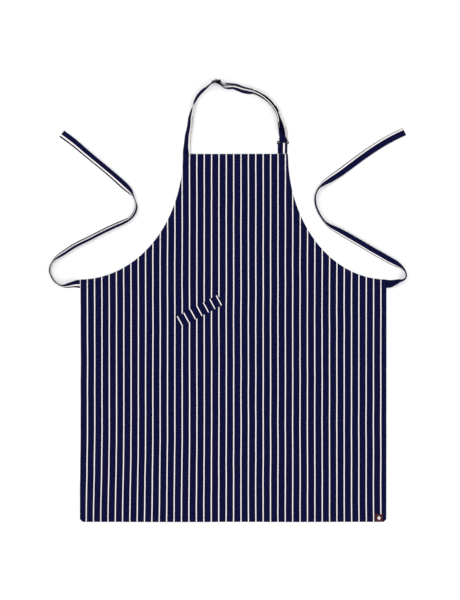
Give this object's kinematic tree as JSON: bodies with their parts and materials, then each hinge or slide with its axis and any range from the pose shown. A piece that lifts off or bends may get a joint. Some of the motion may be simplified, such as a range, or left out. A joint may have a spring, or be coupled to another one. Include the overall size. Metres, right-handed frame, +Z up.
{
  "type": "apron",
  "caption": "Bib apron of dark blue cotton with thin white stripes, laid flat: adjustable neck loop with slider and ring, two waist ties, and a slanted welt pocket.",
  "frame": {"origin": "on the table, under the middle of the apron's outline without its waist ties", "axes": "+X across the apron to the viewer's right, +Y from the hem to the neck loop, +Z up from the table, out of the apron's face"},
  "size_m": [0.8255, 1.0229, 0.024],
  "materials": {
    "striped_cotton": "matt woven cotton twill, navy with narrow cream stripes",
    "pocketing": "plain woven lining cotton",
    "label": "dark red woven label, plain",
    "thread": "navy polyester sewing thread",
    "dark_metal": "dark gunmetal plating, semi gloss"
  },
  "bodies": {
    "apron": {"front_panel": "striped_cotton", "pocket_welt": "striped_cotton", "pocket_bag_front": "pocketing", "pocket_bag_back": "pocketing", "care_label": "label", "neck_strap_end": "striped_cotton", "ring_tab_end": "striped_cotton", "left_tie_end": "striped_cotton", "right_tie_end": "striped_cotton", "bib_hem_stitching": "thread", "left_armhole_stitching": "thread", "right_armhole_stitching": "thread", "left_side_stitching": "thread", "right_side_stitching": "thread", "bottom_hem_stitching": "thread", "neck_strap_tack": "thread", "ring_tab_tack": "thread", "left_tie_tack": "thread", "right_tie_tack": "thread", "welt_stitching": "thread", "welt_left_stitching": "thread", "welt_right_stitching": "thread", "pocket_bag_stitching": "thread", "label_stitching": "thread"},
    "neck_loop": {"neck_strap": "striped_cotton", "ring_tab": "striped_cotton"},
    "ring": {"strap_ring": "dark_metal"},
    "slider": {"slider_buckle": "dark_metal", "strap_end_stitching": "thread"},
    "left_tie": {"left_tie": "striped_cotton"},
    "right_tie": {"right_tie": "striped_cotton"}
  },
  "joints": [
    {"name": "neck_loop_fold", "type": "hinge", "parent": "apron", "child": "neck_loop", "pos_m": [0, 0.3403, 0.0021], "axis": [1, 0, 0], "range_deg": [0, 120]},
    {"name": "ring_swing", "type": "hinge", "parent": "neck_loop", "child": "ring", "pos_m": [0.115, 0.3636, 0.0025], "axis": [1, 0, 0], "range_deg": [0, 55], "deforming": ["neck_strap"]},
    {"name": "slider_travel", "type": "slide", "parent": "neck_loop", "child": "slider", "axis": [0.989, 0.1478, 0], "range_m": [-0.02, 0.02], "deforming": ["neck_strap"]},
    {"name": "left_tie_lift", "type": "hinge", "parent": "apron", "child": "left_tie", "pos_m": [-0.355, 0.0292, 0], "axis": [1, 0, 0], "range_deg": [0, 90]},
    {"name": "right_tie_lift", "type": "hinge", "parent": "apron", "child": "right_tie", "pos_m": [0.355, 0.0292, 0], "axis": [1, 0, 0], "range_deg": [0, 90]}
  ]
}
